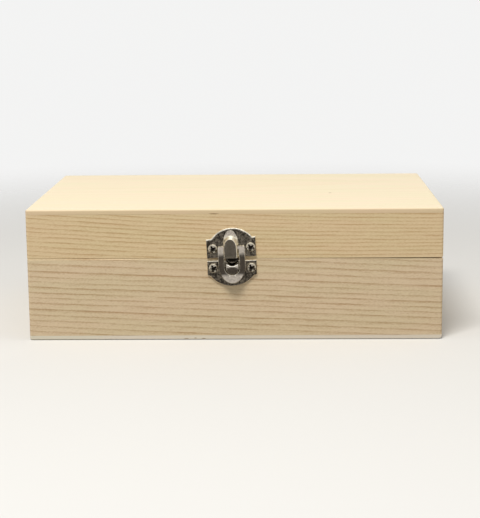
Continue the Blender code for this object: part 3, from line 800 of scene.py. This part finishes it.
# A painted shade for the nose's shadow lies above a line on the hook: its drop, how much higher it is at the
# sides, and how softly it starts.
HOOK_SHADE_LINE, HOOK_SHADE_SIDES, HOOK_SHADE_FADE = 3.1, 0.8, 0.5
hook_line = [(-12.0, 3.55), (-3.35, 3.55), (-1.5, 0.75), (2.0, 0.75)]
hook_outline = [(HOOK_HALF, 0.4), (-HOOK_HALF, 0.4), *arc((0, -5.9), (HOOK_HALF, 3.35), pi, 2 * pi, 32)]
bm = sheet_blank(hook_outline, edge=0.36)
cut_strips(bm, [-7.2 + 0.12 * step for step in range(52)])
cut_strips(bm, [0.5 * step for step in range(-6, 7)], axis=0)
# This mask paints the nose's shadow onto the hook as shade.
depth = bm.verts.layers.float.new("shade_and_grime_mask")
for vert in bm.verts:
    sunk = HOOK_DISH * (1 - (vert.co.x / HOOK_HALF) ** 2)
    vert[depth] = limited((vert.co.y + sunk + HOOK_SHADE_LINE - HOOK_SHADE_SIDES * abs(vert.co.x / HOOK_HALF)) / HOOK_SHADE_FADE)
bend(bm, rounded_path(hook_line, TIGHT_FOLD), HOOK_DISH, HOOK_HALF, rounded_path(hook_line, SOFT_FOLD))
bmesh.ops.translate(bm, verts=bm.verts, vec=(HOOK_SHIFT, 0, 0))
turn_outwards(bm)
finish_piece(bm, "latch_hook", "base", hook_nickel, ["latch_base_plate"], base_latch)

# %% [markdown]
# The flap swings on a bar at its upper end, which lies in the slots of the nose. Its shoulders slope
# outwards, its middle is upright with a round-ended window that drops over the hook, and its lower end is
# bent forward into a lip for the thumb. It is the same flat pattern and bend as the hook.

# %% Flap
PIVOT_RISE, PIVOT_OUT = 6.6, 2.435
FLAP_HALF, FLAP_TOP, FLAP_SIDE, FLAP_END, WINDOW_HALF, WINDOW_END = 8.05, 1.0, -10.1, -21.0, 4.6, -16.2
corner = 0.9
flap_outline = [
    *arc((FLAP_HALF - corner, FLAP_TOP - corner), (corner, corner), 0, pi / 2, 6),
    *arc((corner - FLAP_HALF, FLAP_TOP - corner), (corner, corner), pi / 2, pi, 6),
    *arc((0, FLAP_SIDE), (FLAP_HALF, FLAP_SIDE - FLAP_END), pi, 2 * pi, 64),
]
window_outline = [
    (WINDOW_HALF, -1.0), (-WINDOW_HALF, -1.0),
    *arc((0, WINDOW_END + WINDOW_HALF), (WINDOW_HALF, WINDOW_HALF), pi, 2 * pi, 48),
]
shoulder = [(-6.2 + 7.3 * step / 16, 1.1 - 1.55 * (step / 16) ** 2) for step in range(17)]
lip = rounded_path([(-22.0, 3.25), (-16.3, 1.1), shoulder[0]], 2.4)
flap_path = [*lip, *shoulder[1:]]
bm = sheet_blank(flap_outline, window_outline)
cut_strips(bm, sorted(place for place, _ in flap_path[1:-1]))
bend(bm, flap_path)
turn_outwards(bm)
pivot = lid_latch @ Matrix.Translation((0, PIVOT_RISE, PIVOT_OUT))
finish_piece(bm, "latch_swing_flap", "flap", pressed_nickel, ["latch_flap"], pivot)

# %% [markdown]
# ## Screws
#
# The latch screws have low domed heads with a cross recess. A head is a turned shape, so half its outline is
# drawn and spun round its axis. The recess is a tapered plug with a cross for its outline, taken out of the
# head. One shape is made for the latch and a flatter one for the hinges, and each screw is a copy that was
# left at its own angle by the screwdriver.

# %% Turn a screw head
def turned_head(profile):
    bm = bmesh.new()
    points = [bm.verts.new((x, 0, z)) for x, z in profile]
    edges = [bm.edges.new(pair) for pair in zip(points, points[1:])]
    bmesh.ops.spin(
        bm, geom=points + edges, cent=(0, 0, 0), axis=(0, 0, 1), angle=2 * pi, steps=48, use_merge=True,
    )
    turn_outwards(bm)
    return bm


# %% Cut its cross
# Shares of the cross's reach and width at the plug's floor and top, and its small turn.
PLUG_FLOOR, PLUG_TOP, OFF_TRUE = (0.36, 0.75), (1.0, 1.25), radians(2)
# The recess's painted shade, with some grime, starts this deep under the dome and is full after this much
# more. The head begins above HEAD_LOW.
SHADE_AND_GRIME_DEPTH, SHADE_AND_GRIME_RUN, HEAD_LOW = 0.55, 0.35, 0.1


def cross_recess(reach, width, floor, top):
    """A plug with a cross for its outline, as a bmesh.

    It is turned a little, so that its corners don't fall on the edges between the head's own faces.
    """
    bm = bmesh.new()
    loops = []
    for height, (length, breadth) in ((floor, PLUG_FLOOR), (top, PLUG_TOP)):
        end, side = reach * length, width * breadth / 2
        points = []
        for quarter in range(4):
            turned = Matrix.Rotation(quarter * pi / 2 + OFF_TRUE, 2)
            for point in ((end, -side), (end, side), (side, side)):
                points.append((*(turned @ Vector(point)), height))
        loops.append(closed_line(bm, points))
    bmesh.ops.bridge_loops(bm, edges=loops[0] + loops[1])
    for loop in loops:
        bmesh.ops.contextual_create(bm, geom=loop)
    bmesh.ops.recalc_face_normals(bm, faces=bm.faces)
    return bm


def screw_shape(name, profile, reach, width, floor, top):
    """The finished head as a mesh in millimetres, its underside at zero."""
    head = as_object(turned_head(profile), f"{name}_head")
    cross = as_object(cross_recess(reach, width, floor, top), f"{name}_cross")
    cut = head.modifiers.new("recess", "BOOLEAN")
    cut.operation, cut.object, cut.solver = "DIFFERENCE", cross, "EXACT"
    worked_out(head)
    shape = head.data
    for spare in (head, cross):
        bpy.data.objects.remove(spare)
    crown = [(x, z) for x, z in profile if z > HEAD_LOW]
    # This mask paints shade, and some grime, into the recess.
    depth = shape.attributes.new("shade_and_grime_mask", "FLOAT", "POINT")
    for vert, value in zip(shape.vertices, depth.data):
        away = sqrt(vert.co.x ** 2 + vert.co.y ** 2)
        surface = next((z for x, z in crown if x >= away), 0)
        below = surface - vert.co.z if away < 0.8 * crown[-1][0] and vert.co.z > HEAD_LOW else 0
        value.value = limited((below - SHADE_AND_GRIME_DEPTH) / SHADE_AND_GRIME_RUN)
    print(f"{name}: {len(shape.polygons)} faces")
    return shape


def dome(radius, edge, crown, steps=10):
    """The outline of a domed head from its crown down to its rim."""
    turns = [pi / 2 * step / steps for step in range(steps + 1)]
    return [(radius * sin(turn), edge + (crown - edge) * cos(turn)) for turn in turns]


# %% Both heads
pan = [*dome(2.85, 0.42, 1.60, 12), (2.80, 0.10), (2.3, 0.0), (1.1, 0.0), (1.1, -3.0), (0.0, -3.6)]
pan_head = screw_shape("pan_head", pan, 3.25, 1.08, 0.35, 2.0)
flat = [*dome(1.7, 0.16, 0.6), (1.62, 0.0), (0.9, 0.0), (0.9, -3.0), (0.0, -3.4)]
flat_head = screw_shape("flat_head", flat, 1.0, 0.42, 0.12, 1.0)


def drive(name, body, shape, place, spot, turn):
    """Sets a copy of a screw at a spot on a fitting."""
    bm = bmesh.new()
    bm.from_mesh(shape)
    turned = place @ Matrix.Translation(spot) @ Matrix.Rotation(turn, 4, "Z")
    finish_piece(bm, f"{name}_head", body, screw_nickel, [name], turned)


# %% Drive the latch screws
HEAD_SEAT = 1.22
for half, place, rise, turns in (("lid", lid_latch, 6.55, (22, 30)), ("base", base_latch, -5.5, (28, 24))):
    for side, x, turn in (("left", -11.1, turns[0]), ("right", 11.6, turns[1])):
        drive(f"latch_{half}_screw_{side}", half, pan_head, place, (x, rise, HEAD_SEAT), radians(turn))

# %% [markdown]
# ## Hinges
#
# Two small butt hinges are screwed to the back. Each leaf is a strip of sheet whose end is rolled round the
# pin: the lid's leaf has the middle roll and the base's leaf the two outer ones. The strip is made flat and
# then bent round the pin.

# %% Bend a hinge leaf
AXIS_OUT, ROLL, ROLL_TURN, ROLL_STEPS = 1.75, 1.17, radians(315), 28
LEAF, LEAF_LONG, LEAF_CORNER, LEAF_SHEET, LEAF_EDGE = 9.5, 22.0, 1.0, 0.72, 0.12
MIDDLE_ROLL, ROLL_GAP, NOTCH = 8.0, 0.3, 1.95


def flat_sheet(low, high, height=0):
    """A level rectangle between two corners, as a bmesh."""
    bm = bmesh.new()
    bmesh.ops.create_grid(bm, x_segments=1, y_segments=1, size=0.5)
    bmesh.ops.scale(bm, vec=(high[0] - low[0], high[1] - low[1], 1), verts=bm.verts)
    bmesh.ops.translate(bm, vec=((low[0] + high[0]) / 2, (low[1] + high[1]) / 2, height), verts=bm.verts)
    return bm


def rolled(distance):
    """Height along the leaf and distance out of the wood after this length of strip from its far edge."""
    if distance <= LEAF:
        return LEAF - distance, AXIS_OUT - ROLL
    angle = (distance - LEAF) / ROLL
    return -ROLL * sin(angle), AXIS_OUT - ROLL * cos(angle)


def hinge_leaf(name, body, side, place):
    """Side 1 is the lid's leaf, above the pin, and -1 the base's, below it."""
    middle = (MIDDLE_ROLL - side * ROLL_GAP) / 2
    bm = flat_sheet((-LEAF_LONG / 2, 0), (LEAF_LONG / 2, LEAF + ROLL * ROLL_TURN))
    bmesh.ops.bevel(
        bm, geom=[vert for vert in bm.verts if vert.co.y < CLOSE], offset=LEAF_CORNER, affect="VERTICES",
        segments=4, profile=0.5, material=-1,
    )
    cut_strips(bm, (-middle, middle), axis=0)
    notch = LEAF - NOTCH
    cut_strips(bm, [notch, *(LEAF + ROLL * ROLL_TURN * step / ROLL_STEPS for step in range(ROLL_STEPS))])
    spare = []
    for face in bm.faces:
        centre = face.calc_center_median()
        inside = abs(centre.x) < middle
        if centre.y > notch and inside == (side < 0):
            spare.append(face)
    bmesh.ops.delete(bm, geom=spare, context="FACES")
    for vert in bm.verts:
        height, out = rolled(vert.co.y)
        vert.co = (vert.co.x, side * height, out)
    turn_outwards(bm)
    edges = {"width": LEAF_EDGE * MM, "segments": 2, "limit_method": "ANGLE", "angle_limit": radians(50)}
    thicker = [("SOLIDIFY", {"thickness": LEAF_SHEET * MM, "offset": 0, "use_even_offset": True}), ("BEVEL", edges)]
    leaf = f"{name}_leaf"
    finish_piece(bm, f"{leaf}_rolled", body, plate_nickel, [leaf], place, thicker)


# %% Build the hinges
HINGE_SIDE, SCREW_SIDE, SCREW_RISE, LEAF_FACE, SCREW_TURN = 75.0, 6.5, 6.0, 1.0, 37
PIN_END = [(0, 11.35), (0.5, 11.33), (0.72, 11.2), (0.74, 11.0)]

for side_name, centre in (("left", -HINGE_SIDE), ("right", HINGE_SIDE)):
    hinge = f"{side_name}_hinge"
    place = standing(centre, half_y, facing=pi)
    hinge_leaf(f"{hinge}_base", "base", -1, place)
    hinge_leaf(f"{hinge}_lid", "lid", 1, place)
    bm = turned_head([*PIN_END, *((x, -z) for x, z in reversed(PIN_END))])
    bmesh.ops.rotate(bm, verts=bm.verts, cent=(0, 0, 0), matrix=Matrix.Rotation(pi / 2, 3, "Y"))
    bmesh.ops.translate(bm, verts=bm.verts, vec=(0, 0, AXIS_OUT))
    turn_outwards(bm)
    finish_piece(bm, f"{hinge}_pin_rod", "base", screw_nickel, [f"{hinge}_pin"], place)
    for half, side in (("base", -1), ("lid", 1)):
        for number, x in ((1, -SCREW_SIDE), (2, SCREW_SIDE)):
            spot, turn = (x, side * SCREW_RISE, LEAF_FACE), radians(SCREW_TURN * number * side)
            drive(f"{hinge}_{half}_screw_{number}", half, flat_head, place, spot, turn)

# %% [markdown]
# ## Studio
#
# A broad pale floor that fades into an even pale surround, a key lamp in front and above, a large soft
# lamp overhead, and two weak ones at the sides. The floor shows its pale colour to the eye but throws back
# less light than it seems to, so the key lamp's shadows under the latch stay clear. Metal looks like what it
# reflects, so a dark card lies in front, and its far end stands up and fades away upwards. Only reflections
# see it. It darkens the latch's upright faces while the sloping ones stay bright. Reflections see only the
# lamp overhead, since the others would burn hot spots into the metal.

# %% Floor and card
def stage_piece(bm, name, finish):
    made = as_object(bm, name)
    made.data.materials.append(finish)
    return made


def pale_to_the_eye(tree):
    """One for rays from the camera, a mirror or glass, and zero for those that only carry light."""
    ray = node(tree, "LightPath").outputs
    straight = calc(tree, "MAXIMUM", ray["Is Camera Ray"], ray["Is Glossy Ray"])
    return calc(tree, "MAXIMUM", straight, ray["Is Transmission Ray"])


def fade_out(tree, shader, amount):
    """Makes a finish clearer as the amount goes from 0 to 1."""
    clear = node(tree, "BsdfTransparent").outputs[0]
    faded = node(tree, "MixShader", None, {0: amount, 1: shader.outputs[0], 2: clear}).outputs[0]
    feed(tree, tree.nodes["Material Output"], {"Surface": faded})


CARD_RISE, CARD_SPREAD = 0.75, 9
floor_paint, tree, shader = new_finish("floor_paint")
tone = mix(tree, pale_to_the_eye(tree), (0.38, 0.38, 0.37), (0.73, 0.73, 0.72))
feed(tree, shader, {"Base Color": tone, "Roughness": 0.9, "Specular IOR Level": 0.1})
spot = node(tree, "TexCoord").outputs["Object"]
away = node(tree, "VectorMath", {"operation": "LENGTH"}, {0: spot}).outputs["Value"]
fade = {0: away, 1: 0.25, 2: 0.85, 3: 0, 4: 1}
fade_out(tree, shader, node(tree, "MapRange", {"interpolation_type": "SMOOTHSTEP"}, fade).outputs[0])
stage_piece(flat_sheet((-2, -2), (2, 2), -0.0002), "floor", floor_paint)

card_paint, tree, shader = new_finish("card_paint")
feed(tree, shader, {"Base Color": (0.05, 0.045, 0.04), "Roughness": 0.9})
height = split(tree, node(tree, "TexCoord").outputs["Object"])[2]
fade_out(tree, shader, remap(tree, height, 0.0, CARD_RISE))
bm = flat_sheet((-0.12, -3.0), (0.14, -0.088), 0.001)
far = [vert for vert in bm.verts if vert.co.y < -1]
bmesh.ops.scale(bm, vec=(CARD_SPREAD, 1, 1), verts=far)
far_edge = [edge for edge in bm.edges if all(vert in far for vert in edge.verts)]
grown = bmesh.ops.extrude_edge_only(bm, edges=far_edge)["geom"]
bmesh.ops.translate(bm, vec=(0, 0, CARD_RISE), verts=only(BMVert, grown))
card = stage_piece(bm, "dark_card", card_paint)
for kind in ("camera", "diffuse", "shadow", "transmission", "volume_scatter"):
    setattr(card, f"visible_{kind}", False)

# %% Lamps and surround
world = bpy.data.worlds.new("surround")
bpy.context.scene.world = world
world.use_nodes = True
sky = world.node_tree
background = sky.nodes["Background"]
feed(sky, background, {"Color": (1.0, 0.985, 0.96), "Strength": 0.355})
shown = node(sky, "Background", None, {"Color": (0.90, 0.90, 0.895), "Strength": 1.0})
blended = node(sky, "MixShader", None, {0: pale_to_the_eye(sky), 1: background.outputs[0], 2: shown.outputs[0]})
feed(sky, sky.nodes["World Output"], {"Surface": blended.outputs[0]})


def soft_lamp(name, place, target, size, power, mirrored=False):
    """A warm lamp that looks at its target. Reflections see it only if it is mirrored."""
    lamp = bpy.data.lights.new(name, "AREA")
    lamp.shape, lamp.energy, lamp.color = "RECTANGLE", power, (1.0, 0.97, 0.92)
    lamp.size, lamp.size_y = size
    made = add_object(name, lamp)
    made.location = place
    made.rotation_euler = (Vector(target) - Vector(place)).to_track_quat("-Z", "Y").to_euler()
    made.visible_glossy = mirrored


soft_lamp("overhead_lamp", (0.10, -0.30, 1.25), (0, 0, 0.05), (1.05, 0.80), 2.3, mirrored=True)
soft_lamp("key_lamp", (-0.25, -0.80, 1.35), (0, -0.08, 0.05), (0.58, 0.43), 17.6)
for side_name, side in (("left", -1), ("right", 1)):
    soft_lamp(f"{side_name}_lamp", (side * 1.3, -0.25, 0.45), (0, -0.05, 0.04), (0.5, 0.7), 3.0)
bpy.context.scene.view_settings.view_transform = "Standard"

# %% [markdown]
# ## Camera
#
# The photograph was taken from a little to the right and above, with a longish lens. The lens and the place
# come from fitting a camera to the eight corners of the box that can be seen.

# %% Camera
camera_data = bpy.data.cameras.new("camera")
camera_data.lens, camera_data.sensor_width = 96.68, 36
camera_data.clip_start, camera_data.clip_end = 0.01, 100
camera = add_object("camera", camera_data)
right = Vector((0.99959, 0.02681, -0.01015))
up = Vector((0.00492, 0.18845, 0.98207))
back = right.cross(up).normalized()
turned = Matrix((right, up, back)).transposed().to_4x4()
camera.matrix_world = Matrix.Translation((0.02704, -0.89907, 0.20661)) @ turned
bpy.context.scene.camera = camera
